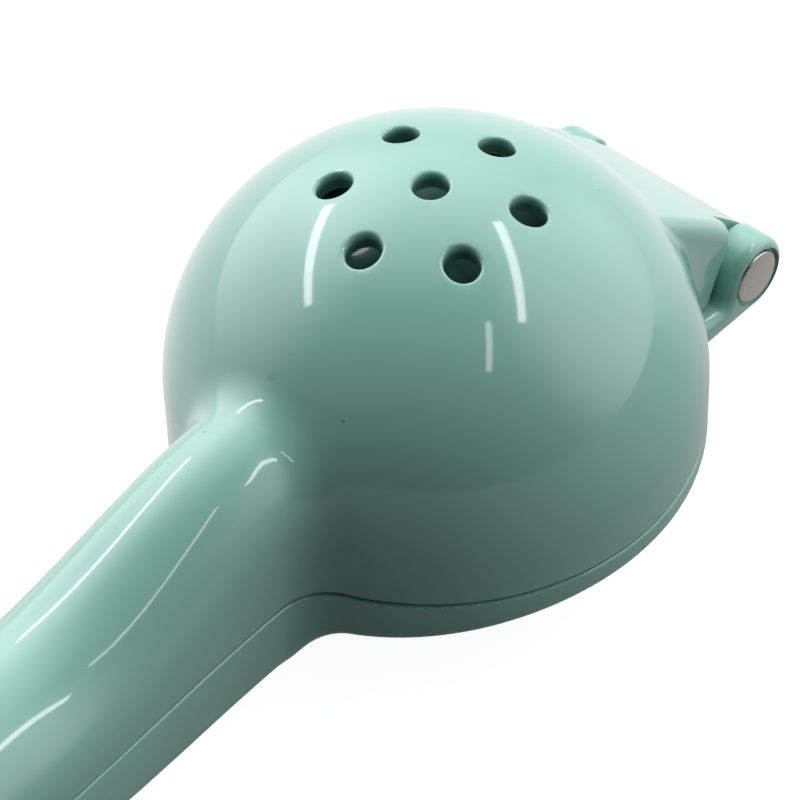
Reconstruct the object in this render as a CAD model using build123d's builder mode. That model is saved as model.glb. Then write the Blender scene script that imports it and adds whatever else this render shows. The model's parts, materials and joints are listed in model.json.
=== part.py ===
"""Hinged lemon squeezer: two enamelled aluminium castings on one steel hinge rivet.

The tool lies closed on a table, dome up. The perforated bowl and its handle are on top; the
press lever, which carries the plunger, is underneath and holds the rivet in its fork. X runs
along the tool with the hinge at +X, Y runs along the hinge axis, and the origin is at the
bottom centre of the whole tool. Sizes are in millimetres.
"""

import os
from math import cos, pi, radians, sin

from build123d import *

# ---------------------------------------------------------------- driving dimensions
# strainer bowl
bowl_radius = 38.0  # outside, at its widest circle
bowl_crown = 35.2  # height of the dome above that circle
bowl_skirt = 6.35  # straight wall below that circle, down to the parting plane
bowl_wall = 3.0
parting_gap = 0.5  # between the closed levers
rim_round = 0.35  # softened edges along the parting line

# juice holes
juice_hole_radius = 2.5
juice_ring_radius = 13.2
juice_ring_count = 6
juice_hole_round = 0.5

# handles, measured from the bowl's axis
handle_reach = 158.0
handle_wall = 2.8
neck_half_width = 10.3
grip_half_width = 12.5
width_blend = (42.0, 92.0)  # the handles widen from neck to grip over this stretch
strainer_neck_height = 17.7  # handle top above the bowl's widest circle
strainer_grip_height = 7.4
strainer_blend = (38.0, 82.0)
strainer_arch = 10.0  # rise of the rounded top over the side walls
press_neck_depth = 21.6  # handle underside below the bowl's widest circle
press_grip_depth = 19.5
press_blend = (55.0, 105.0)
press_arch = 6.0
handle_root_inset = 16.0  # both handles start this far inside the bowl and the ring
section_spacing = 10.0  # between the sections that shape a handle
channel_setback = 10.0  # from the bowl's wall to where the hollow of both handles begins
junction_round = 8.0  # where a handle runs into the bowl or the ring

# plunger
rind_gap = 4.0  # side room for the rind between plunger and bowl
crown_gap = 4.7  # room over the plunger's crown
plunger_wall = 3.0
plunger_root_round = 1.2
mouth_round = 1.5

# press ring
ring_level_x = 8.0  # its underside is level from here to the hinge
ring_slope_inset = 11.0  # towards the handle it falls, and this far inside its edge it is
ring_slope_depth = 13.6  # this deep
ring_edge_depth = 17.3  # its depth at the edge itself
underside_run = 12.0  # the fall ends on the handle's underside, this far past the edge
underside_dip = 0.3  # and passes that far below it
underside_tilt = 0.05  # slope at which the fall meets the underside
underside_round = 1.9

# hinge
pin_standoff = 9.5  # hinge axis beyond the bowl's widest circle
pin_drop = 4.8  # hinge axis below the bowl's widest circle
pin_radius = 2.5
pin_running_clearance = 0.06
pin_seat_clearance = 0.02
knuckle_radius = 5.5
ear_radius = 5.95
fork_width = 38.8
ear_thickness = 6.0
knuckle_side_gap = 0.4
ear_root_round = 2.0
ear_edge_round = 1.6
ear_inner_round = 0.5
crotch_gap = 0.7  # between the knuckle and the metal behind it
arm_root_inset = 12.0  # the fork's arms start this far inside the ring
rivet_head_radius = 4.15
rivet_head_height = 0.7
spot_face_radius = 4.8  # the heads sit in shallow spot faces
spot_face_depth = 0.75
rivet_head_round = 0.4

# tongue that joins the bowl to the knuckle
shoulder_inset = 2.6  # the shoulders' sides stand this far inside the fork's
shoulder_clearance = 0.6  # between the shoulders and the ears
shoulder_lean = 24.0  # degrees that the shoulders' ends lean back from upright
shoulder_root_inset = 20.0  # the tongue starts this far inside the bowl
tongue_root_inset = 14.0  # and its top starts to fall here
tongue_root_drop = 14.5  # below the dome's crown
tongue_slope = 45.0  # degrees that the top falls where it runs onto the knuckle
tongue_root_round = 2.5
tongue_edge_round = 2.5
tongue_end_round = 0.8

# ---------------------------------------------------------------- derived places
pin_reach = bowl_radius + pin_standoff
hinge_reach = pin_reach + ear_radius
bowl_x = (handle_reach - hinge_reach) / 2
base_depth = max(press_neck_depth, press_grip_depth)
rim_z = -bowl_skirt + parting_gap / 2  # strainer lever's rim
flange_z = -bowl_skirt - parting_gap / 2  # press lever's flange
ring_depth = pin_drop + ear_radius
grip_end_x = -(handle_reach - grip_half_width)
plunger_radius = bowl_radius - bowl_wall - rind_gap
plunger_crown = bowl_crown - bowl_wall - crown_gap
ear_inner_y = fork_width / 2 - ear_thickness
knuckle_half_width = ear_inner_y - knuckle_side_gap
channel_start = bowl_radius + channel_setback
handle_root_x = bowl_radius - handle_root_inset
ring_slope_x = bowl_radius - ring_slope_inset
ring_edge_x = bowl_radius
underside_neck_x = bowl_radius + underside_run
arm_root_x = bowl_radius - arm_root_inset
shoulder_half_width = fork_width / 2 - shoulder_inset
shoulder_root_x = bowl_radius - shoulder_root_inset
tongue_root_x = bowl_radius - tongue_root_inset
tongue_root_height = bowl_crown - tongue_root_drop
edge_slack = 0.1  # an edge this far past a place counts as beyond it
touch_slack = 0.05  # an edge this near to a face counts as on it
cut_margin = 20.0  # how far cutting tools run past the metal
crown_flat_angle = 88.5  # degrees round each dome's arc where its small top flat begins

bowl_axis = Axis((bowl_x, 0, 0), (0, 0, 1))
grip_end_axis = Axis((bowl_x + grip_end_x, 0, 0), (0, 0, 1))


def plan(z):
    """Horizontal plane at height z over the bowl's widest circle, centred on its axis."""
    return Plane((bowl_x, 0, base_depth + z), x_dir=(1, 0, 0), z_dir=(0, 0, 1))


def station(x):
    """Upright plane across the tool at x from the bowl's axis; its local axes are Y and Z."""
    return Plane((bowl_x + x, 0, base_depth), x_dir=(0, 1, 0), z_dir=(1, 0, 0))


def side(y):
    """Upright plane along the tool at y; its local axes are X and Z, and it faces -Y."""
    return Plane((bowl_x, y, base_depth), x_dir=(1, 0, 0), z_dir=(0, -1, 0))


def place(shape):
    """Centre of an edge, measured from the bowl's axis and its widest circle."""
    return shape.center() - Vector(bowl_x, 0, base_depth)


def dome_offset(point):
    """How far a point lies from the bowl's outer surface, near enough for picking edges."""
    from_axis = (point.X - bowl_x) ** 2 + point.Y**2
    height = max(0.0, point.Z - base_depth)
    share = from_axis / bowl_radius**2 + height**2 / bowl_crown**2
    return abs(share - 1) * bowl_radius / 2


def eased(x, stretch, first, last):
    """Value that goes smoothly from first to last as -x runs over the stretch."""
    start, end = stretch
    share = min(1.0, max(0.0, (-x - start) / (end - start)))
    return first + (last - first) * share * share * (3 - 2 * share)


def half_width(x):
    return eased(x, width_blend, neck_half_width, grip_half_width)


def strainer_top(x):
    return eased(x, strainer_blend, strainer_neck_height, strainer_grip_height)


def press_bottom(x):
    return -eased(x, press_blend, press_neck_depth, press_grip_depth)


def stations(first_x):
    """Places of the sections that shape a handle, from first_x out to its rounded end."""
    count = round((first_x - grip_end_x) / section_spacing)
    step = (grip_end_x - first_x) / count
    return [first_x + step * i for i in range(count + 1)]


def arch_outline(half, foot, crown, rise, whole):
    """Outline with upright sides from foot, closed by half an ellipse that ends at crown.

    A negative rise makes an outline that hangs down; when whole is False only the half on
    the positive side is drawn, for the rounded end of a handle.
    """
    spring = crown - rise
    turn = 180 if whole else 90
    near_side = -half if whole else 0
    near_foot = spring if whole else crown
    with BuildLine() as outline:
        Line((near_side, near_foot), (near_side, foot))
        Line((near_side, foot), (half, foot))
        Line((half, foot), (half, spring))
        EllipticalCenterArc(
            (0, spring), half, abs(rise), start_angle=0, arc_size=turn if rise > 0 else -turn
        )
    make_face(outline.edges())


def dome_outline(radius, crown, foot):
    """Half outline of a dome on a straight skirt that ends at foot, with a tiny flat on top."""
    with BuildLine() as outline:
        arch = EllipticalCenterArc(
            (0, 0), radius, crown, start_angle=crown_flat_angle, arc_size=-crown_flat_angle
        )
        Line((radius, 0), (radius, foot))
        Line((radius, foot), (0, foot))
        Line((0, foot), (0, (arch @ 0).Y))
        Line((0, (arch @ 0).Y), arch @ 0)
    make_face(outline.edges())


# ---------------------------------------------------------------- strainer lever
with BuildPart() as strainer_handle:
    for x in stations(-handle_root_x):
        with BuildSketch(station(x)):
            arch_outline(half_width(x), rim_z, strainer_top(x), strainer_arch, True)
    loft()
    with BuildSketch(station(grip_end_x)):
        arch_outline(grip_half_width, rim_z, strainer_grip_height, strainer_arch, False)
    revolve(axis=grip_end_axis, revolution_arc=180)

with BuildPart() as strainer_channel:
    channel_foot = rim_z - cut_margin
    channel_arch = strainer_arch - handle_wall
    for x in stations(-channel_start):
        channel_top = strainer_top(x) - handle_wall
        with BuildSketch(station(x)):
            arch_outline(half_width(x) - handle_wall, channel_foot, channel_top, channel_arch, True)
    loft()
    with BuildSketch(station(grip_end_x)):
        channel_top = strainer_grip_height - handle_wall
        channel_half = grip_half_width - handle_wall
        arch_outline(channel_half, channel_foot, channel_top, channel_arch, False)
    revolve(axis=grip_end_axis, revolution_arc=180)

# the tongue's top falls in a shallow arc that runs onto the knuckle's barrel
slope = radians(tongue_slope)
touch = (pin_reach + knuckle_radius * sin(slope), -pin_drop + knuckle_radius * cos(slope))
lean = radians(shoulder_lean)
shoulder_reach = ear_radius + shoulder_clearance
shoulder_x = pin_reach - shoulder_reach * cos(lean)
shoulder_z = -pin_drop + shoulder_reach * sin(lean)
notch_end = pin_reach + 2 * ear_radius

with BuildPart() as tongue:
    with BuildSketch(side(shoulder_half_width)):
        with BuildLine():
            Line((shoulder_root_x, rim_z), (pin_reach, rim_z))
            Line((pin_reach, rim_z), touch)
            TangentArc(touch, (tongue_root_x, tongue_root_height), tangent=(-cos(slope), sin(slope)))
            Line((tongue_root_x, tongue_root_height), (shoulder_root_x, tongue_root_height))
            Line((shoulder_root_x, tongue_root_height), (shoulder_root_x, rim_z))
        make_face()
    extrude(amount=2 * shoulder_half_width)
    # outside the knuckle's width the tongue stops short of the ears
    for y in (-knuckle_half_width, shoulder_half_width):
        with BuildSketch(side(y)):
            with BuildLine():
                Polyline(
                    (shoulder_x - cut_margin * sin(lean), shoulder_z - cut_margin * cos(lean)),
                    (shoulder_x + cut_margin * sin(lean), shoulder_z + cut_margin * cos(lean)),
                    (notch_end, shoulder_z + cut_margin * cos(lean)),
                    (notch_end, shoulder_z - cut_margin * cos(lean)),
                    close=True,
                )
            make_face()
        extrude(amount=shoulder_half_width - knuckle_half_width, mode=Mode.SUBTRACT)
    with BuildSketch(side(knuckle_half_width)):
        with Locations((pin_reach, -pin_drop)):
            Circle(knuckle_radius)
    extrude(amount=2 * knuckle_half_width)
    top_edges = [
        e
        for e in tongue.edges()
        if abs(place(e).Y) > shoulder_half_width - edge_slack
        and place(e).X > tongue_root_x + edge_slack
        and place(e).Z > shoulder_z + ear_radius
    ]
    fillet(top_edges, tongue_edge_round)
    # then the shoulders' ends, whose edges run on over those rounded sides
    end_edges = [
        e
        for e in tongue.edges()
        if abs(place(e).Y) > knuckle_half_width + edge_slack
        and place(e).Z > rim_z + edge_slack
        and abs((place(e).X - shoulder_x) * cos(lean) - (place(e).Z - shoulder_z) * sin(lean)) < touch_slack
    ]
    fillet(end_edges, tongue_end_round)

with BuildPart() as strainer_lever:
    with BuildSketch(station(0)):
        dome_outline(bowl_radius, bowl_crown, rim_z)
    revolve(axis=bowl_axis)
    add(strainer_handle.part)
    neck_seam = [
        e
        for e in strainer_lever.edges()
        if abs(place(e).X) < bowl_radius + bowl_wall
        and place(e).Z > rim_z + edge_slack
        and abs(place(e).Y) < neck_half_width + handle_wall
    ]
    fillet(neck_seam, junction_round)
    add(tongue.part)
    tongue_seam = [
        e
        for e in strainer_lever.edges()
        if place(e).X > 0
        and rim_z + edge_slack < place(e).Z < tongue_root_height
        and e.length < bowl_radius
        and dome_offset(e.center()) < touch_slack
        and max(dome_offset(v) for v in e.vertices()) < touch_slack
    ]
    fillet(tongue_seam, tongue_root_round)
    with BuildSketch(side(0)):
        dome_outline(bowl_radius - bowl_wall, bowl_crown - bowl_wall, rim_z - cut_margin)
    revolve(axis=bowl_axis, mode=Mode.SUBTRACT)
    add(strainer_channel.part, mode=Mode.SUBTRACT)
    rim = [f for f in strainer_lever.faces() if abs(place(f).Z - rim_z) < touch_slack]
    outer_rim = [e for f in rim for e in f.outer_wire().edges() if place(e).X < shoulder_x - tongue_edge_round]
    fillet(outer_rim, rim_round)
    with BuildSketch(plan(0)):
        Circle(juice_hole_radius)
        with PolarLocations(juice_ring_radius, juice_ring_count):
            Circle(juice_hole_radius)
    extrude(amount=bowl_crown + bowl_wall, mode=Mode.SUBTRACT)
    hole_edges = [
        e
        for e in strainer_lever.edges()
        if place(e).Z > 0
        and (place(e).X ** 2 + place(e).Y ** 2) ** 0.5 < juice_ring_radius + juice_hole_radius
        and e.length < 4 * pi * juice_hole_radius
        and (e.length > pi * juice_hole_radius)
    ]
    fillet(hole_edges, juice_hole_round)
    with BuildSketch(side(fork_width)):
        with Locations((pin_reach, -pin_drop)):
            Circle(pin_radius + pin_running_clearance)
    extrude(amount=2 * fork_width, mode=Mode.SUBTRACT)

# ---------------------------------------------------------------- press lever
with BuildPart() as press_handle:
    for x in stations(-handle_root_x):
        with BuildSketch(station(x)):
            arch_outline(half_width(x), flange_z, press_bottom(x), -press_arch, True)
    loft()
    with BuildSketch(station(grip_end_x)):
        arch_outline(grip_half_width, flange_z, -press_grip_depth, -press_arch, False)
    revolve(axis=grip_end_axis, revolution_arc=180)

with BuildPart() as press_channel:
    channel_foot = flange_z + cut_margin
    channel_arch = handle_wall - press_arch
    for x in stations(-channel_start):
        channel_floor = press_bottom(x) + handle_wall
        with BuildSketch(station(x)):
            arch_outline(half_width(x) - handle_wall, channel_foot, channel_floor, channel_arch, True)
    loft()
    with BuildSketch(station(grip_end_x)):
        channel_floor = handle_wall - press_grip_depth
        channel_half = grip_half_width - handle_wall
        arch_outline(channel_half, channel_foot, channel_floor, channel_arch, False)
    revolve(axis=grip_end_axis, revolution_arc=180)

with BuildPart() as under_cut:
    with BuildSketch(side(bowl_radius + cut_margin)):
        with BuildLine():
            level_end = (ring_level_x, -ring_depth)
            neck_foot = (-underside_neck_x, -press_neck_depth - underside_dip)
            Spline(
                level_end,
                (-ring_slope_x, -ring_slope_depth),
                (-ring_edge_x, -ring_edge_depth),
                neck_foot,
                tangents=((-1, 0), (-1, -underside_tilt)),
            )
            Polyline(
                neck_foot,
                (-underside_neck_x, -press_neck_depth - cut_margin),
                (notch_end, -press_neck_depth - cut_margin),
                (notch_end, -ring_depth),
                level_end,
            )
        make_face()
    extrude(amount=2 * (bowl_radius + cut_margin))

with BuildPart() as fork:
    for y in (-ear_inner_y, fork_width / 2):
        with BuildSketch(side(y)):
            with BuildLine():
                Polyline(
                    (arm_root_x, flange_z),
                    (arm_root_x, -ring_depth),
                    (pin_reach, -ring_depth),
                    (pin_reach, flange_z),
                    close=True,
                )
            make_face()
            with Locations((pin_reach, -pin_drop)):
                Circle(ear_radius)
            ear_root = vertices().filter_by(
                lambda v: abs(v.Y - flange_z) < touch_slack and v.X > arm_root_x + edge_slack
            )
            fillet(ear_root, ear_root_round)
        extrude(amount=ear_thickness)
    contour = [e for e in fork.edges() if abs(e.center().Y) > fork_width / 2 - touch_slack]
    fillet([e for e in contour if place(e).X > arm_root_x + edge_slack], ear_edge_round)
    inner_contour = [e for e in fork.edges() if abs(abs(e.center().Y) - ear_inner_y) < touch_slack]
    fillet([e for e in inner_contour if place(e).X > arm_root_x + edge_slack], ear_inner_round)
    # the web between the arms stops behind the knuckle
    with BuildSketch(side(ear_inner_y + 2 * ear_inner_round)):
        with BuildLine():
            web_end = pin_reach - knuckle_radius - crotch_gap
            Polyline(
                (arm_root_x, flange_z),
                (arm_root_x, -ring_depth),
                (web_end, -ring_depth),
                (web_end, flange_z),
                close=True,
            )
        make_face()
    extrude(amount=2 * (ear_inner_y + 2 * ear_inner_round))

with BuildPart() as press_lever:
    with BuildSketch(plan(flange_z)):
        Circle(bowl_radius)
    extrude(amount=-(press_neck_depth + cut_margin / 2))
    add(press_handle.part)
    neck_seam = [
        e
        for e in press_lever.edges()
        if abs(place(e).X) < bowl_radius + bowl_wall
        and -press_neck_depth - handle_wall < place(e).Z < flange_z - edge_slack
        and abs(place(e).Y) < neck_half_width + handle_wall
    ]
    fillet(neck_seam, junction_round)
    add(under_cut.part, mode=Mode.SUBTRACT)
    under_edges = [
        e
        for e in press_lever.edges()
        if e.geom_type != GeomType.LINE
        and place(e).X > -underside_neck_x
        and max(under_cut.part.distance_to(e.position_at(u)) for u in (0, 0.5, 1)) < touch_slack
    ]
    fillet(under_edges, underside_round)
    flange = [f for f in press_lever.faces() if abs(place(f).Z - flange_z) < touch_slack]
    fillet([e for f in flange for e in f.outer_wire().edges()], rim_round)
    add(fork.part)
    with BuildSketch(side(0)):
        dome_outline(plunger_radius, plunger_crown, flange_z - 1)
    revolve(axis=bowl_axis)
    plunger_root = [
        e
        for e in press_lever.edges().filter_by(GeomType.CIRCLE)
        if abs(place(e).Z - flange_z) < touch_slack and abs(e.radius - plunger_radius) < touch_slack
    ]
    fillet(plunger_root, plunger_root_round)
    with BuildSketch(side(0)):
        dome_outline(
            plunger_radius - plunger_wall, plunger_crown - plunger_wall, -press_neck_depth - 1
        )
    revolve(axis=bowl_axis, mode=Mode.SUBTRACT)
    mouth_radius = plunger_radius - plunger_wall
    mouth = [
        e
        for e in press_lever.edges()
        if place(e).Z < -ring_depth + 0.5
        and abs((place(e).X ** 2 + place(e).Y ** 2) ** 0.5 - mouth_radius) < touch_slack
    ]
    fillet(mouth, mouth_round)
    add(press_channel.part, mode=Mode.SUBTRACT)
    with BuildSketch(side(fork_width)):
        with Locations((pin_reach, -pin_drop)):
            Circle(pin_radius + pin_seat_clearance)
    extrude(amount=2 * fork_width, mode=Mode.SUBTRACT)
    for y, inward in ((-fork_width / 2, -1), (fork_width / 2, 1)):
        with BuildSketch(side(y)):
            with Locations((pin_reach, -pin_drop)):
                Circle(spot_face_radius)
        extrude(amount=inward * spot_face_depth, mode=Mode.SUBTRACT)

# ---------------------------------------------------------------- hinge rivet
rivet_half = fork_width / 2 - spot_face_depth
with BuildPart() as hinge_rivet:
    with BuildSketch(side(rivet_half)):
        with Locations((pin_reach, -pin_drop)):
            Circle(pin_radius)
    extrude(amount=2 * rivet_half)
    for y, outward in ((-rivet_half, 1), (rivet_half, -1)):
        with BuildSketch(side(y)):
            with Locations((pin_reach, -pin_drop)):
                Circle(rivet_head_radius)
        extrude(amount=outward * rivet_head_height)
    head_rims = [
        e
        for e in hinge_rivet.edges().filter_by(GeomType.CIRCLE)
        if abs(place(e).Y) > rivet_half + rivet_head_height - touch_slack
    ]
    fillet(head_rims, rivet_head_round)

os.makedirs("parts", exist_ok=True)
strainer_lever.part.label = "strainer_lever"
export_step(strainer_lever.part, "parts/strainer_lever.step")
press_lever.part.label = "press_lever"
export_step(press_lever.part, "parts/press_lever.step")
hinge_rivet.part.label = "hinge_rivet"
export_step(hinge_rivet.part, "parts/hinge_rivet.step")
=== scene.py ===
# %% [markdown]
# # Hinged lemon squeezer
# Two enamelled castings are held together by one steel rivet. The upper one is the perforated bowl
# with its handle, the lower one carries the plunger and the fork of the hinge. The solids come from
# the frame, so every size below is read from it or measured against it, in metres.

# %% Load the frame
import json
import math

import bpy
import numpy as np
from mathutils import Matrix, Vector


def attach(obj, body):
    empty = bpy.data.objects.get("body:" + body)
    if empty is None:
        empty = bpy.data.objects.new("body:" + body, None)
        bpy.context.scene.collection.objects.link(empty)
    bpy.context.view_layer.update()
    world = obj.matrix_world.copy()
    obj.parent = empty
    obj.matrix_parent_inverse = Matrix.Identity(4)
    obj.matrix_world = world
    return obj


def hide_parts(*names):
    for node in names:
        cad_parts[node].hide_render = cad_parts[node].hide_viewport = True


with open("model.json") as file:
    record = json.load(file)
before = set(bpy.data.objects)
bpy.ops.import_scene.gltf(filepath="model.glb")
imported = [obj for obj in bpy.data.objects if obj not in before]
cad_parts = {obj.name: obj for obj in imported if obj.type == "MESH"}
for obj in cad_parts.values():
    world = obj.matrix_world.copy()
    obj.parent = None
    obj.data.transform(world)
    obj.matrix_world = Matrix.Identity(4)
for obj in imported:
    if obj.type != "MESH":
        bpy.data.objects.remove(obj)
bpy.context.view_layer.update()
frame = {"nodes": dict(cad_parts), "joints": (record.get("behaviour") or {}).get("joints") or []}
print("solids loaded:", sorted(frame["nodes"]))

# %% [markdown]
# The squeezer is built round two axes: the hinge, which the frame states as a joint, and the bowl's
# upright axis, which stands a fixed reach behind it. Everything else is placed from these two.

# %% Find the two axes
MM = 0.001
PIN_REACH = 47.5 * MM
PIN_DROP = 4.8 * MM
hinge = Vector(frame["joints"][0]["pos_m"])
bowl_centre = Vector((hinge.x - PIN_REACH, 0.0, hinge.z + PIN_DROP))
print("bowl centre:", tuple(round(c, 4) for c in bowl_centre))


# %% [markdown]
# Shader maths reads best as plain expressions. This small class wraps a socket, so that adding or
# multiplying two values adds the Math node that does it. `ramp` is a soft step, which most masks need.

# %% A value that can be reckoned with
class Value:
    def __init__(self, graph, socket):
        self.graph = graph
        self.socket = socket

    def __add__(self, other):
        return self.graph.maths("ADD", self, other)

    __radd__ = __add__

    def __mul__(self, other):
        return self.graph.maths("MULTIPLY", self, other)

    __rmul__ = __mul__

    def __sub__(self, other):
        return self.graph.maths("SUBTRACT", self, other)

    def __rsub__(self, other):
        return self.graph.maths("SUBTRACT", other, self)

    def ramp(self, low, high):
        """0 below low, 1 above high, and smooth between them."""
        settings = {"interpolation_type": "SMOOTHSTEP"}
        inputs = {"Value": self, "From Min": low, "From Max": high}
        return self.graph.node("ShaderNodeMapRange", settings, inputs, "Result")

    def beside(self, output):
        """Another output of the node that this value comes from."""
        return Value(self.graph, self.socket.node.outputs[output])


print("values ready")


# %% [markdown]
# The nodes themselves come from one method. It sets a node's options first, because some options
# change its sockets, then fills each input with a number or a link. Colours are mixed by a Mix node:
# a Math node would turn them grey. That node keeps a set of sockets for each data type, so the ones for
# colours are picked by their number.

# %% A pen for shader graphs
MIX_FACTOR, MIX_FIRST, MIX_SECOND, MIX_RESULT = 0, 6, 7, 2


class Graph:
    def __init__(self, tree):
        self.tree = tree
        tree.nodes.clear()

    def node(self, kind, settings=None, inputs=None, output=0):
        made = self.tree.nodes.new(kind)
        for name, setting in (settings or {}).items():
            setattr(made, name, setting)
        for name, source in (inputs or {}).items():
            if isinstance(source, Value):
                self.tree.links.new(source.socket, made.inputs[name])
            else:
                made.inputs[name].default_value = source
        return Value(self, made.outputs[output]) if made.outputs else made

    def maths(self, operation, first, second):
        return self.node("ShaderNodeMath", {"operation": operation}, {0: first, 1: second})

    def vectors(self, operation, first, second, output=0):
        settings = {"operation": operation}
        return self.node("ShaderNodeVectorMath", settings, {0: first, 1: second}, output)

    def mix(self, factor, first, second):
        """Colour mix: first where factor is 0, second where it is 1."""
        inputs = {MIX_FACTOR: factor, MIX_FIRST: first, MIX_SECOND: second}
        return self.node("ShaderNodeMix", {"data_type": "RGBA"}, inputs, MIX_RESULT)


def blank_material(name):
    """A material with an empty graph, and the pen that draws in it."""
    material = bpy.data.materials.new(name)
    material.use_nodes = True
    return material, Graph(material.node_tree)


print("shader pen ready")


# %% [markdown]
# A juice hole is a narrow well, and little light finds its way down, so it looks nearly black. Lamps
# alone leave it too pale, because the glossy wall mirrors them, so the enamel is also darkened by its
# depth under the dome. The dome's outside is half an ellipsoid. Dividing a place by the half axes turns
# it into a sphere of radius 1, and the distance from the middle is then the depth. The mask ends
# before the bowl's inside, and low down, where the rim has no holes.

# %% Depth inside a juice hole
BOWL_RADIUS = 38.0 * MM
BOWL_CROWN = 35.2 * MM
WELL_MOUTH = (0.955, 0.988)  # full shade below the first share of the dome's size, none above the second
WELL_END = (0.922, 0.932)
WELL_HEIGHT = (20.0 * MM, 24.0 * MM)


def hole_depth(graph, place):
    """0 on the dome's outside and 1 from about 1.6 mm below it, near the crown only."""
    centred = graph.vectors("SUBTRACT", place, bowl_centre)
    scaled = graph.vectors("DIVIDE", centred, (BOWL_RADIUS, BOWL_RADIUS, BOWL_CROWN))
    reach = graph.node("ShaderNodeVectorMath", {"operation": "LENGTH"}, {0: scaled}, "Value")
    height = graph.node("ShaderNodeSeparateXYZ", None, {0: centred}, "Z")
    below_mouth = 1.0 - reach.ramp(*WELL_MOUTH)
    return below_mouth * reach.ramp(*WELL_END) * height.ramp(*WELL_HEIGHT)


print("shade in the holes starts", round((1 - WELL_MOUTH[1]) * BOWL_CROWN / MM, 2), "mm down")


# %% [markdown]
# The castings wear a mint enamel: an opaque colour under a glassy skin. The base is a plain rough
# colour and the glass is a clear coat over it, which keeps the highlight crisp while the colour stays
# soft. Real enamel isn't quite one colour: it pools darker in places and has a few pinhead specks. A
# cloudy noise gives the first, and the middles of Voronoi cells give the second. Both read Object
# coordinates, so they stay in place when a casting turns.

# %% Mint enamel
MINT = (0.30, 0.60, 0.52, 1.0)
MINT_POOLED = (0.27, 0.56, 0.48, 1.0)
SPECK = (0.10, 0.16, 0.14, 1.0)
SHADED = (0.05, 0.12, 0.10, 1.0)
POOL_SCALE, POOL_DETAIL, POOL_EDGES, POOL_SHARE = 35.0, 2.0, (0.35, 0.75), 0.35
SPECK_SCALE, SPECK_EDGES, SPECK_SHARE = 95.0, (0.018, 0.03), 0.45
SHADED_SHARE = 0.8
ENAMEL_GLOSS = {
    "Roughness": 0.30,
    "Specular IOR Level": 0.25,
    "Coat Weight": 1.0,
    "Coat Roughness": 0.06,
    "Coat IOR": 1.55,
}


def mint_enamel():
    material, graph = blank_material("mint_enamel")
    place = graph.node("ShaderNodeTexCoord", output="Object")
    inputs = {"Vector": place, "Scale": POOL_SCALE, "Detail": POOL_DETAIL}
    pools = graph.node("ShaderNodeTexNoise", None, inputs).ramp(*POOL_EDGES)
    inputs = {"Vector": place, "Scale": SPECK_SCALE}
    cells = graph.node("ShaderNodeTexVoronoi", {"feature": "F1"}, inputs, "Distance")
    specks = 1.0 - cells.ramp(*SPECK_EDGES)
    colour = graph.mix(pools * POOL_SHARE, MINT, MINT_POOLED)
    colour = graph.mix(specks * SPECK_SHARE, colour, SPECK)
    # painted shade: the juice holes' walls darkened by their depth under the dome, in place of the shade
    # down the wells
    colour = graph.mix(hole_depth(graph, place) * SHADED_SHARE, colour, SHADED)
    inputs = {"Base Color": colour, **ENAMEL_GLOSS}
    shader = graph.node("ShaderNodeBsdfPrincipled", None, inputs)
    graph.node("ShaderNodeOutputMaterial", None, {"Surface": shader})
    return material


enamel = mint_enamel()
print("enamel:", len(enamel.node_tree.nodes), "nodes")

# %% [markdown]
# The rivet is bare steel, pressed over and buffed. Bare metal has no colour under its gloss, so it is
# all Metallic. What buffing leaves is too fine to model, so a very fine noise in the roughness breaks
# up the glint instead.

# %% Rivet steel
STEEL = (0.56, 0.52, 0.48, 1.0)
STEEL_ROUGHNESS = 0.22
GRAIN_SCALE, GRAIN_DETAIL, GRAIN_SHARE = 900.0, 3.0, 0.12


def rivet_steel():
    material, graph = blank_material("rivet_steel")
    place = graph.node("ShaderNodeTexCoord", output="Object")
    inputs = {"Vector": place, "Scale": GRAIN_SCALE, "Detail": GRAIN_DETAIL}
    grain = graph.node("ShaderNodeTexNoise", None, inputs)
    roughness = grain * GRAIN_SHARE + STEEL_ROUGHNESS
    inputs = {"Base Color": STEEL, "Metallic": 1.0, "Roughness": roughness}
    shader = graph.node("ShaderNodeBsdfPrincipled", None, inputs)
    graph.node("ShaderNodeOutputMaterial", None, {"Surface": shader})
    return material


steel = rivet_steel()
print("steel:", len(steel.node_tree.nodes), "nodes")

# %% [markdown]
# A solid from the frame is a mesh of loose flat triangles, and it is left alone. The visible skin is a
# copy: its triangles are merged where they touch, and faces that meet at a small angle are shaded as
# one. A Subdivision modifier would look smooth as well, but it would round off the rims and change the
# sizes at which the two castings fit each other.

# %% A skin over a solid
SHARP = math.radians(25.0)
SAME_PLACE = 1e-6


def skin(node, name):
    bpy.ops.object.select_all(action="DESELECT")
    made = node.copy()
    made.data = node.data.copy()
    made.name = name
    bpy.context.scene.collection.objects.link(made)
    made.select_set(True)
    bpy.context.view_layer.objects.active = made
    bpy.ops.object.mode_set(mode="EDIT")
    bpy.ops.mesh.select_all(action="SELECT")
    bpy.ops.mesh.remove_doubles(threshold=SAME_PLACE)
    bpy.ops.mesh.customdata_custom_splitnormals_clear()
    bpy.ops.object.mode_set(mode="OBJECT")
    bpy.ops.object.shade_smooth_by_angle(angle=SHARP)
    return made


print("edges stay sharp from", round(math.degrees(SHARP)), "degrees")


# %% [markdown]
# Under gloss each triangle of such a skin still shows, because the normal at a vertex is only the
# average of the flats round it. The cure keeps the shape and corrects the normals: one smooth curved
# surface is laid through each vertex and its neighbours, and its slope there is the true normal. The
# mesh is first read as points. A vertex on a sharp edge makes one point for each side, told apart by
# their normals, so that a sharp edge stays sharp.

# %% Read a skin as points
NORMAL_STEPS = 500


def read(collection, name, width):
    """One property of all vertices, faces or corners, as rows of an array."""
    values = np.empty(len(collection) * width)
    collection.foreach_get(name, values)
    return values.reshape(-1, width)


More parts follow.
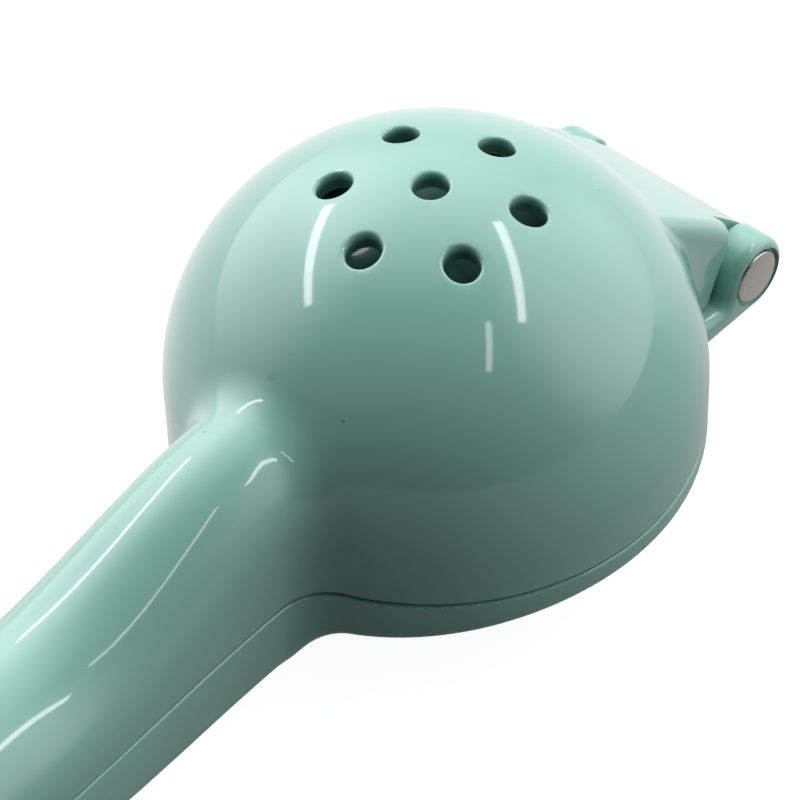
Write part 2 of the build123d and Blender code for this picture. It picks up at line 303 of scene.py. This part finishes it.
def smooth_points(mesh):
    """A point for each vertex and side of a sharp edge: its place, its normal, and each corner's."""
    vertex = read(mesh.loops, "vertex_index", 1)[:, 0].astype(int)
    normal = read(mesh.corner_normals, "vector", 3)
    sides = np.column_stack([vertex, np.round(normal * NORMAL_STEPS).astype(int)])
    _, first, point = np.unique(sides, axis=0, return_index=True, return_inverse=True)
    return read(mesh.vertices, "co", 3)[vertex[first]], normal[first], point.reshape(-1)


print("normals within 1 /", NORMAL_STEPS, "belong to one side")


# %% [markdown]
# A curved surface is only certain with five neighbours or more, and the ring of triangles round a
# point often has fewer that help. So the neighbours are gathered two rings out, straight from the
# triangles.

# %% Neighbours two rings out
def two_rings(count, triangles):
    """Each point's neighbours, as a row of points and a row of the neighbours they have."""
    near = [set() for _ in range(count)]
    for a, b, c in triangles.tolist():
        near[a].update((b, c))
        near[b].update((a, c))
        near[c].update((a, b))
    pairs = []
    for point, ring in enumerate(near):
        wide = set(ring).union(*(near[other] for other in ring)) - {point}
        pairs.extend((point, other) for other in wide)
    return np.array(pairs).T


print("neighbours of a lone triangle's corner:", len(two_rings(3, np.array([[0, 1, 2]]))[1]) // 3)


# %% [markdown]
# Not every neighbour is to be trusted alike. One whose normal has turned far is round a bend, and
# counts little. The fit is also steadier along the way the neighbours spread, because on a rounded
# edge they are close together one way and far apart the other, so two directions are turned to match.

# %% Weights and directions
TRUSTED_TURN = 20.0
STEEP = 0.9


def turn_weight(normal, here, there):
    """How far each neighbour is trusted: 1 where its normal is the same, little round a bend."""
    turn = np.degrees(np.arccos(np.clip((normal[here] * normal[there]).sum(1), -1, 1)))
    return np.exp(-((turn / TRUSTED_TURN) ** 2))


def measured(step, first, second):
    """Each step's length along the first and along the second direction."""
    return (step * first).sum(1), (step * second).sum(1)


def spread(normal, step, weight, here, total):
    """Two directions across each point, along and across the spread of its neighbours."""
    helper = np.where(np.abs(normal[:, 2:3]) < STEEP, [[0.0, 0.0, 1.0]], [[1.0, 0.0, 0.0]])
    across = np.cross(helper, normal)
    across /= np.linalg.norm(across, axis=1)[:, None]
    along = np.cross(normal, across)
    u, v = measured(step, across[here], along[here])
    lean = 0.5 * np.arctan2(2 * total(weight * u * v), total(weight * (u * u - v * v)))
    cosine, sine = np.cos(lean)[:, None], np.sin(lean)[:, None]
    return across * cosine + along * sine, along * cosine - across * sine


print("a neighbour turned by", TRUSTED_TURN, "degrees counts", round(math.exp(-1), 2))


# %% [markdown]
# Now the surface: a quadratic in the two directions, fitted by least squares for all points at once.
# Only its two slopes at the point are kept, and they tilt the normal. Close neighbours count most. A
# very small stiffness keeps the sum solvable where neighbours lie in one line. Where too few are
# trusted, or the fit would tilt the normal by more than 4 degrees, the old normal stays.

# %% Fitted normals
TRUSTED, ENOUGH = 0.2, 6
CLOSE_BY = 0.3
STIFFNESS = 1e-4
LARGEST_TILT = math.radians(4.0)
NO_LENGTH, NO_SUM = 1e-9, 1e-12  # added so that nothing is divided by zero


def slopes(u, v, height, weight, total):
    """Slope along u and v at each point, of the quadratic that fits the neighbours' heights best."""
    terms = np.stack([u, v, u * u, u * v, v * v])
    left = np.stack([[total(weight * row * term) for term in terms] for row in terms])
    right = np.stack([[total(weight * row * height)] for row in terms])
    left, right = left.transpose(2, 0, 1), right.transpose(2, 0, 1)
    size = np.trace(left, axis1=1, axis2=2)[:, None, None] + NO_SUM
    return np.linalg.solve(left / size + np.eye(len(terms)) * STIFFNESS, right / size)[:, :2, 0]


def fitted_normals(place, normal, triangles):
    """Slope, at each point, of the quadratic surface fitted through the two rings round it."""
    here, there = two_rings(len(place), triangles)

    def total(values):
        return np.bincount(here, weights=values, minlength=len(place))

    step = place[there] - place[here]
    weight = turn_weight(normal, here, there)
    steady = total(weight > TRUSTED) >= ENOUGH
    across, along = spread(normal, step, weight, here, total)
    u, v = measured(step, across[here], along[here])
    height = (step * normal[here]).sum(1)
    wide = np.sqrt(total(weight * u * u) / total(weight)) + NO_LENGTH
    deep = np.sqrt(total(weight * v * v) / total(weight)) + NO_LENGTH
    u, v = u / wide[here], v / deep[here]
    weight /= CLOSE_BY + u * u + v * v
    slope = slopes(u, v, height, weight, total)
    tilt_across, tilt_along = slope[:, :1] / wide[:, None], slope[:, 1:] / deep[:, None]
    fitted = normal - across * tilt_across - along * tilt_along
    fitted /= np.linalg.norm(fitted, axis=1)[:, None]
    close = (fitted * normal).sum(1) > math.cos(LARGEST_TILT)
    return np.where((steady & close)[:, None], fitted, normal)


def polish(made):
    place, normal, point = smooth_points(made.data)
    smooth = fitted_normals(place, normal, point.reshape(-1, 3))
    made.data.normals_split_custom_set(smooth[point].tolist())


print("a normal is corrected by up to", round(math.degrees(LARGEST_TILT)), "degrees")


# %% [markdown]
# The frame's mesh has a thin double sheet across the mouth of one juice hole, the one nearest the
# hinge, while its wall and inner mouth are right. A boolean cut would take the sheet off but leave a
# sharp, ragged mouth. So the sheet comes off together with the mouth's rounding, down to the straight
# wall, and the rounding is then made anew. These are the hole's measures, and the test that finds
# the faces to take: on the dome's outside, near the mouth, and not part of the upright wall.

# %% Find the sheet over one juice hole
HOLE_RING = 13.2 * MM
HOLE_RADIUS = 2.5 * MM
MOUTH_CLEAR = 3.4 * MM
MOUTH_REACH = 0.97
UPRIGHT = 0.03


def dome_height(east, north):
    """Height of the dome's outside over the bowl's centre, at a place in plan."""
    return BOWL_CROWN * np.sqrt(1 - (east**2 + north**2) / BOWL_RADIUS**2)


def round_hole(spot):
    """Angle round the hole's axis and distance from it, in plan."""
    east, north = spot[:, 0] - HOLE_RING, spot[:, 1]
    return np.arctan2(north, east), np.hypot(east, north)


def mouth_sheet(mesh, spot):
    """True for each triangle on the dome's outside that comes near the hole's mouth."""
    corner = read(mesh.loops, "vertex_index", 1)[:, 0].astype(int).reshape(-1, 3)
    near = round_hole(spot)[1] < MOUTH_CLEAR
    across, up = np.hypot(spot[:, 0], spot[:, 1]), spot[:, 2]
    outside = (np.hypot(across / BOWL_RADIUS, up / BOWL_CROWN) > MOUTH_REACH) & (up > 0)
    upright = np.abs(read(mesh.polygons, "normal", 3)[:, 2]) < UPRIGHT
    return near[corner].any(axis=1) & outside[corner].all(axis=1) & ~upright


print("dome over the hole's middle:", round(float(dome_height(HOLE_RING, 0.0)) / MM, 2), "mm")


# %% [markdown]
# Operators act on what is selected, so the faces and edges have to be picked in code. Setting one kind
# of selection leaves the others as they were, and edit mode would mix them, so everything is
# deselected there first. Open edges are found by Select Non Manifold, as by hand.

# %% Pick faces, vertices and open edges
def choose(mesh, collection, chosen):
    """Select just these faces or vertices, in edit mode."""
    bpy.ops.object.mode_set(mode="EDIT")
    bpy.ops.mesh.select_mode(type="FACE" if collection is mesh.polygons else "VERT")
    bpy.ops.mesh.select_all(action="DESELECT")
    bpy.ops.object.mode_set(mode="OBJECT")
    collection.foreach_set("select", chosen)
    bpy.ops.object.mode_set(mode="EDIT")


def open_edges(mesh):
    """Select the vertices on open edges and return which they are, in object mode."""
    bpy.ops.mesh.select_mode(type="VERT")
    bpy.ops.mesh.select_all(action="DESELECT")
    bpy.ops.mesh.select_non_manifold()
    bpy.ops.object.mode_set(mode="OBJECT")
    return read(mesh.vertices, "select", 1)[:, 0] > 0


print("pickers ready")


# %% [markdown]
# The new rounding grows from the wall's top edge: the edge is extruded ring by ring, and each ring is
# put on a curve that starts upright and runs out onto the dome. The last ring and the dome's open edge
# are bridged, the new faces made triangles like the rest, and all normals turned outwards.

# %% Open the hole again
MOUTH_RINGS = 6
WALL_SLACK = 1.01


def mouth_ring(share, turn, start):
    """Places round the mouth, this share of the way from the wall's top out to the dome."""
    corner = dome_height(HOLE_RING + HOLE_RADIUS * np.cos(turn), HOLE_RADIUS * np.sin(turn))
    # a curve from the wall's top, drawn towards the corner, and out as far as it came up
    out = HOLE_RADIUS + share**2 * (corner - start)
    east, north = HOLE_RING + out * np.cos(turn), out * np.sin(turn)
    rim = dome_height(east, north)
    rise = (1 - share) ** 2 * start + (1 - (1 - share) ** 2) * corner
    return np.column_stack([east, north, rise + (rim - corner) * share**2])


def open_hole(made):
    mesh = made.data
    middle = np.array(bowl_centre)
    choose(mesh, mesh.polygons, mouth_sheet(mesh, read(mesh.vertices, "co", 3) - middle))
    bpy.ops.mesh.delete(type="FACE")
    edge = open_edges(mesh)
    spot = read(mesh.vertices, "co", 3) - middle
    angle, distance = round_hole(spot)
    wall = edge & (distance < HOLE_RADIUS * WALL_SLACK)
    around, top = angle[wall], spot[wall, 2]
    choose(mesh, mesh.vertices, wall)
    for ring in range(1, MOUTH_RINGS + 1):
        bpy.ops.mesh.extrude_edges_move()
        bpy.ops.object.mode_set(mode="OBJECT")
        spot = read(mesh.vertices, "co", 3) - middle
        new = read(mesh.vertices, "select", 1)[:, 0] > 0
        turn = round_hole(spot[new])[0]
        start = np.interp(turn, around, top, period=2 * math.pi)
        spot[new] = mouth_ring(ring / MOUTH_RINGS, turn, start)
        mesh.vertices.foreach_set("co", (spot + middle).ravel())
        bpy.ops.object.mode_set(mode="EDIT")
    open_edges(mesh)
    bpy.ops.object.mode_set(mode="EDIT")
    bpy.ops.mesh.select_mode(type="EDGE")
    bpy.ops.mesh.bridge_edge_loops()
    bpy.ops.mesh.select_all(action="SELECT")
    bpy.ops.mesh.quads_convert_to_tris()
    bpy.ops.mesh.normals_make_consistent(inside=False)
    bpy.ops.object.mode_set(mode="OBJECT")
    return int(wall.sum())


print("the new mouth gets", MOUTH_RINGS, "rings")

# %% [markdown]
# Each solid now gets its skin. The strainer's hole is opened before the polish, so that the new faces
# get smooth normals too. Every skin replaces its solid, rides on the body that carries it, so that
# it turns with the hinge, and wears its finish: enamel on the castings, steel on the rivet, which is
# fixed in the press lever's fork.

# %% Dress the three solids
SKINS = {"strainer_lever": "strainer_skin", "press_lever": "press_skin", "hinge_rivet": "rivet_skin"}
for node_name, skin_name in SKINS.items():
    made = skin(frame["nodes"][node_name], skin_name)
    if node_name == "strainer_lever":
        print("hole opened again, points round its wall:", open_hole(made))
    polish(made)
    made.data.materials.clear()
    made.data.materials.append(steel if node_name == "hinge_rivet" else enamel)
    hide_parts(node_name)
    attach(made, "strainer" if node_name == "strainer_lever" else "press")
    print(skin_name, "has", len(made.data.polygons), "faces")

# %% [markdown]
# The squeezer is looked at from its handle side, from well above, through a long lens: that keeps
# the dome round and lets the handle run out of the lower left corner. The camera is placed by azimuth,
# elevation and distance from the bowl, then moved a little sideways and down in its own plane to frame
# the whole, which leaves its lens shift alone.

# %% Camera
VIEW_AZIMUTH = math.radians(-46.02)
VIEW_ELEVATION = math.radians(46.22)
VIEW_ROLL = math.radians(-2.16)
VIEW_DISTANCE = 549.2 * MM
AIM_RIGHT = 4.98 * MM
AIM_UP = 4.2 * MM
LENS = 177.65
SENSOR = 36.0
NEAREST, FARTHEST = 0.01, 20.0


def camera():
    back = Vector(
        (
            math.sin(VIEW_AZIMUTH) * math.cos(VIEW_ELEVATION),
            -math.cos(VIEW_AZIMUTH) * math.cos(VIEW_ELEVATION),
            math.sin(VIEW_ELEVATION),
        )
    )
    level = Vector((math.cos(VIEW_AZIMUTH), math.sin(VIEW_AZIMUTH), 0.0))
    upright = back.cross(level)
    right = level * math.cos(VIEW_ROLL) + upright * math.sin(VIEW_ROLL)
    up = upright * math.cos(VIEW_ROLL) - level * math.sin(VIEW_ROLL)
    place = bowl_centre + back * VIEW_DISTANCE - right * AIM_RIGHT - up * AIM_UP
    bpy.ops.object.camera_add()
    made = bpy.context.object
    turn = Matrix((right, up, back)).transposed().to_4x4()
    made.matrix_world = Matrix.Translation(place) @ turn
    made.data.lens = LENS
    made.data.sensor_width = SENSOR
    made.data.clip_start = NEAREST
    made.data.clip_end = FARTHEST
    return made


eye = camera()
bpy.context.scene.camera = eye
print("camera at", tuple(round(c, 3) for c in eye.location))

# %% [markdown]
# A glossy skin shows what stands round it, so the studio matters as much as the enamel. Four soft
# diffusers stand in an almost dark room: one above and behind the squeezer, one low behind it, and one
# at each side. The crown, the rims and the sides catch them, while what faces the eye mirrors the dark
# room and turns deep green. Each diffuser is a soft spot in the sky, written as a function of
# direction, because a lamp of that size would show its edge. The camera itself sees plain white.

# %% Sky
WHITE = (1.0, 1.0, 1.0, 1.0)
ROOM = 0.012
DIFFUSERS = {  # azimuth and elevation of the middle, degrees from it to full and to none, strength
    "above": (50.0, 52.0, (4.0, 44.0), 1.0),
    "behind": (46.0, 6.0, (20.0, 76.0), 0.95),
    "left": (98.0, 22.0, (5.0, 50.0), 1.5),
    "right": (-34.0, 25.0, (5.0, 50.0), 1.75),
}


def compass(azimuth, elevation):
    """The direction with this azimuth and elevation, in degrees."""
    a, e = math.radians(azimuth), math.radians(elevation)
    return Vector((math.cos(a) * math.cos(e), math.sin(a) * math.cos(e), math.sin(e)))


def sky():
    world = bpy.data.worlds.new("studio")
    world.use_nodes = True
    graph = Graph(world.node_tree)
    direction = graph.node("ShaderNodeTexCoord", output="Generated")
    strength = ROOM
    for azimuth, elevation, (full, none), glow in DIFFUSERS.values():
        facing = graph.vectors("DOT_PRODUCT", direction, compass(azimuth, elevation), "Value")
        edges = math.cos(math.radians(none)), math.cos(math.radians(full))
        strength = facing.ramp(*edges) * glow + strength
    room = graph.node("ShaderNodeBackground", None, {"Color": WHITE, "Strength": strength})
    white = graph.node("ShaderNodeBackground", None, {"Color": WHITE, "Strength": 1.0})
    seen = graph.node("ShaderNodeLightPath", output="Is Camera Ray")
    chosen = graph.node("ShaderNodeMixShader", None, {0: seen, 1: room, 2: white})
    graph.node("ShaderNodeOutputWorld", None, {"Surface": chosen})
    bpy.context.scene.world = world


sky()
print("sky set with", len(DIFFUSERS), "diffusers")

# %% [markdown]
# The table is one large plane whose material answers each kind of ray in its own way. The camera sees
# an even glow, nearly white, over a little grey paper: only the paper loses light under the squeezer,
# and so the shadow is soft and faint. The gloss sees a painted glow that stands in for lit paper: white
# behind the squeezer, fading towards the eye to grey paper, a painted shade in what the castings mirror
# that keeps their sides deep in colour. All other light meets dull grey paper, so the table doesn't
# light the castings from below.

# %% Table
FLOOR_SIZE = 6.0
TABLE_GLOW = 0.93
TABLE_GREY = (0.25, 0.25, 0.25, 1.0)
PAPER_GREY = (0.19, 0.19, 0.19, 1.0)
AWAY_EAST, AWAY_NORTH = 0.45, 0.88
AWAY_EDGES = (-0.02, 0.09)
WHITE_NEAR, WHITE_ADDED = 0.12, 0.85


def floor():
    bpy.ops.mesh.primitive_plane_add(size=FLOOR_SIZE, location=(0.0, 0.0, 0.0))
    made = bpy.context.object
    made.name = "floor"
    material, graph = blank_material("floor_white")
    place = graph.node("ShaderNodeTexCoord", output="Object")
    east = graph.node("ShaderNodeSeparateXYZ", None, {0: place}, "X")
    away = (east * AWAY_EAST + east.beside("Y") * AWAY_NORTH).ramp(*AWAY_EDGES)
    # painted glow for gloss only: white emission behind the squeezer, and a painted shade of grey paper
    # towards the eye
    painted_glow_share = away * WHITE_ADDED + WHITE_NEAR
    seen = graph.node("ShaderNodeLightPath", output="Is Camera Ray")
    mirrored = seen.beside("Is Glossy Ray")
    paper = graph.node("ShaderNodeBsdfDiffuse", None, {"Color": PAPER_GREY})
    white = graph.node("ShaderNodeEmission", None, {"Color": WHITE, "Strength": 1.0})
    unseen = graph.node("ShaderNodeMixShader", None, {0: mirrored * painted_glow_share, 1: paper, 2: white})
    glow = graph.node("ShaderNodeEmission", None, {"Color": WHITE, "Strength": TABLE_GLOW})
    shadowed = graph.node("ShaderNodeBsdfDiffuse", None, {"Color": TABLE_GREY})
    table = graph.node("ShaderNodeAddShader", None, {0: glow, 1: shadowed})
    chosen = graph.node("ShaderNodeMixShader", None, {0: seen, 1: unseen, 2: table})
    graph.node("ShaderNodeOutputMaterial", None, {"Surface": chosen})
    made.data.materials.append(material)
    return made


table_top = floor()
print("table added,", FLOOR_SIZE, "m wide")

# %% [markdown]
# The long bright streaks on the dome and along the handle are the mirror images of strip lamps. A
# strip is a rectangular area lamp, laid so that it runs from one direction to another as the bowl sees
# them. A sun or a point lamp would leave a dot there. An area lamp is given its power in watts, which
# is pi times its area times how bright it looks, so the brightness is what is written down here.

# %% Strip lamps
LAMP_DISTANCE = 4.0


def bar_lamp(name, start, end, width, radiance):
    """A straight bar of light that runs from one direction to another, as the bowl sees them."""
    first = bowl_centre + compass(*start) * LAMP_DISTANCE
    last = bowl_centre + compass(*end) * LAMP_DISTANCE
    middle = (first + last) / 2
    along = (last - first).normalized()
    across = (middle - bowl_centre).normalized().cross(along)
    bpy.ops.object.light_add(type="AREA")
    made = bpy.context.object
    made.name = name
    made.data.shape = "RECTANGLE"
    made.data.size = (last - first).length
    made.data.size_y = width
    made.data.energy = radiance * math.pi * made.data.size * width
    # an area lamp shines down its own axis, and down is towards the bowl here
    turn = Matrix((along, across, along.cross(across))).transposed().to_4x4()
    made.matrix_world = Matrix.Translation(middle) @ turn
    return made


lamps = [
    bar_lamp("lamp_left", (76.0, 33.0), (128.0, 43.5), 0.22, 8.0),
    bar_lamp("lamp_right", (8.6, 53.0), (-66.0, 54.5), 0.22, 8.0),
    bar_lamp("lamp_low", (-82.0, 65.0), (-104.5, 48.5), 0.16, 5.0),
]
print("lamps:", [lamp.name for lamp in lamps])

# %% [markdown]
# Last, the Standard view shows colours as they were written, where others would grey the whites.

# %% Finish
bpy.context.scene.view_settings.view_transform = "Standard"
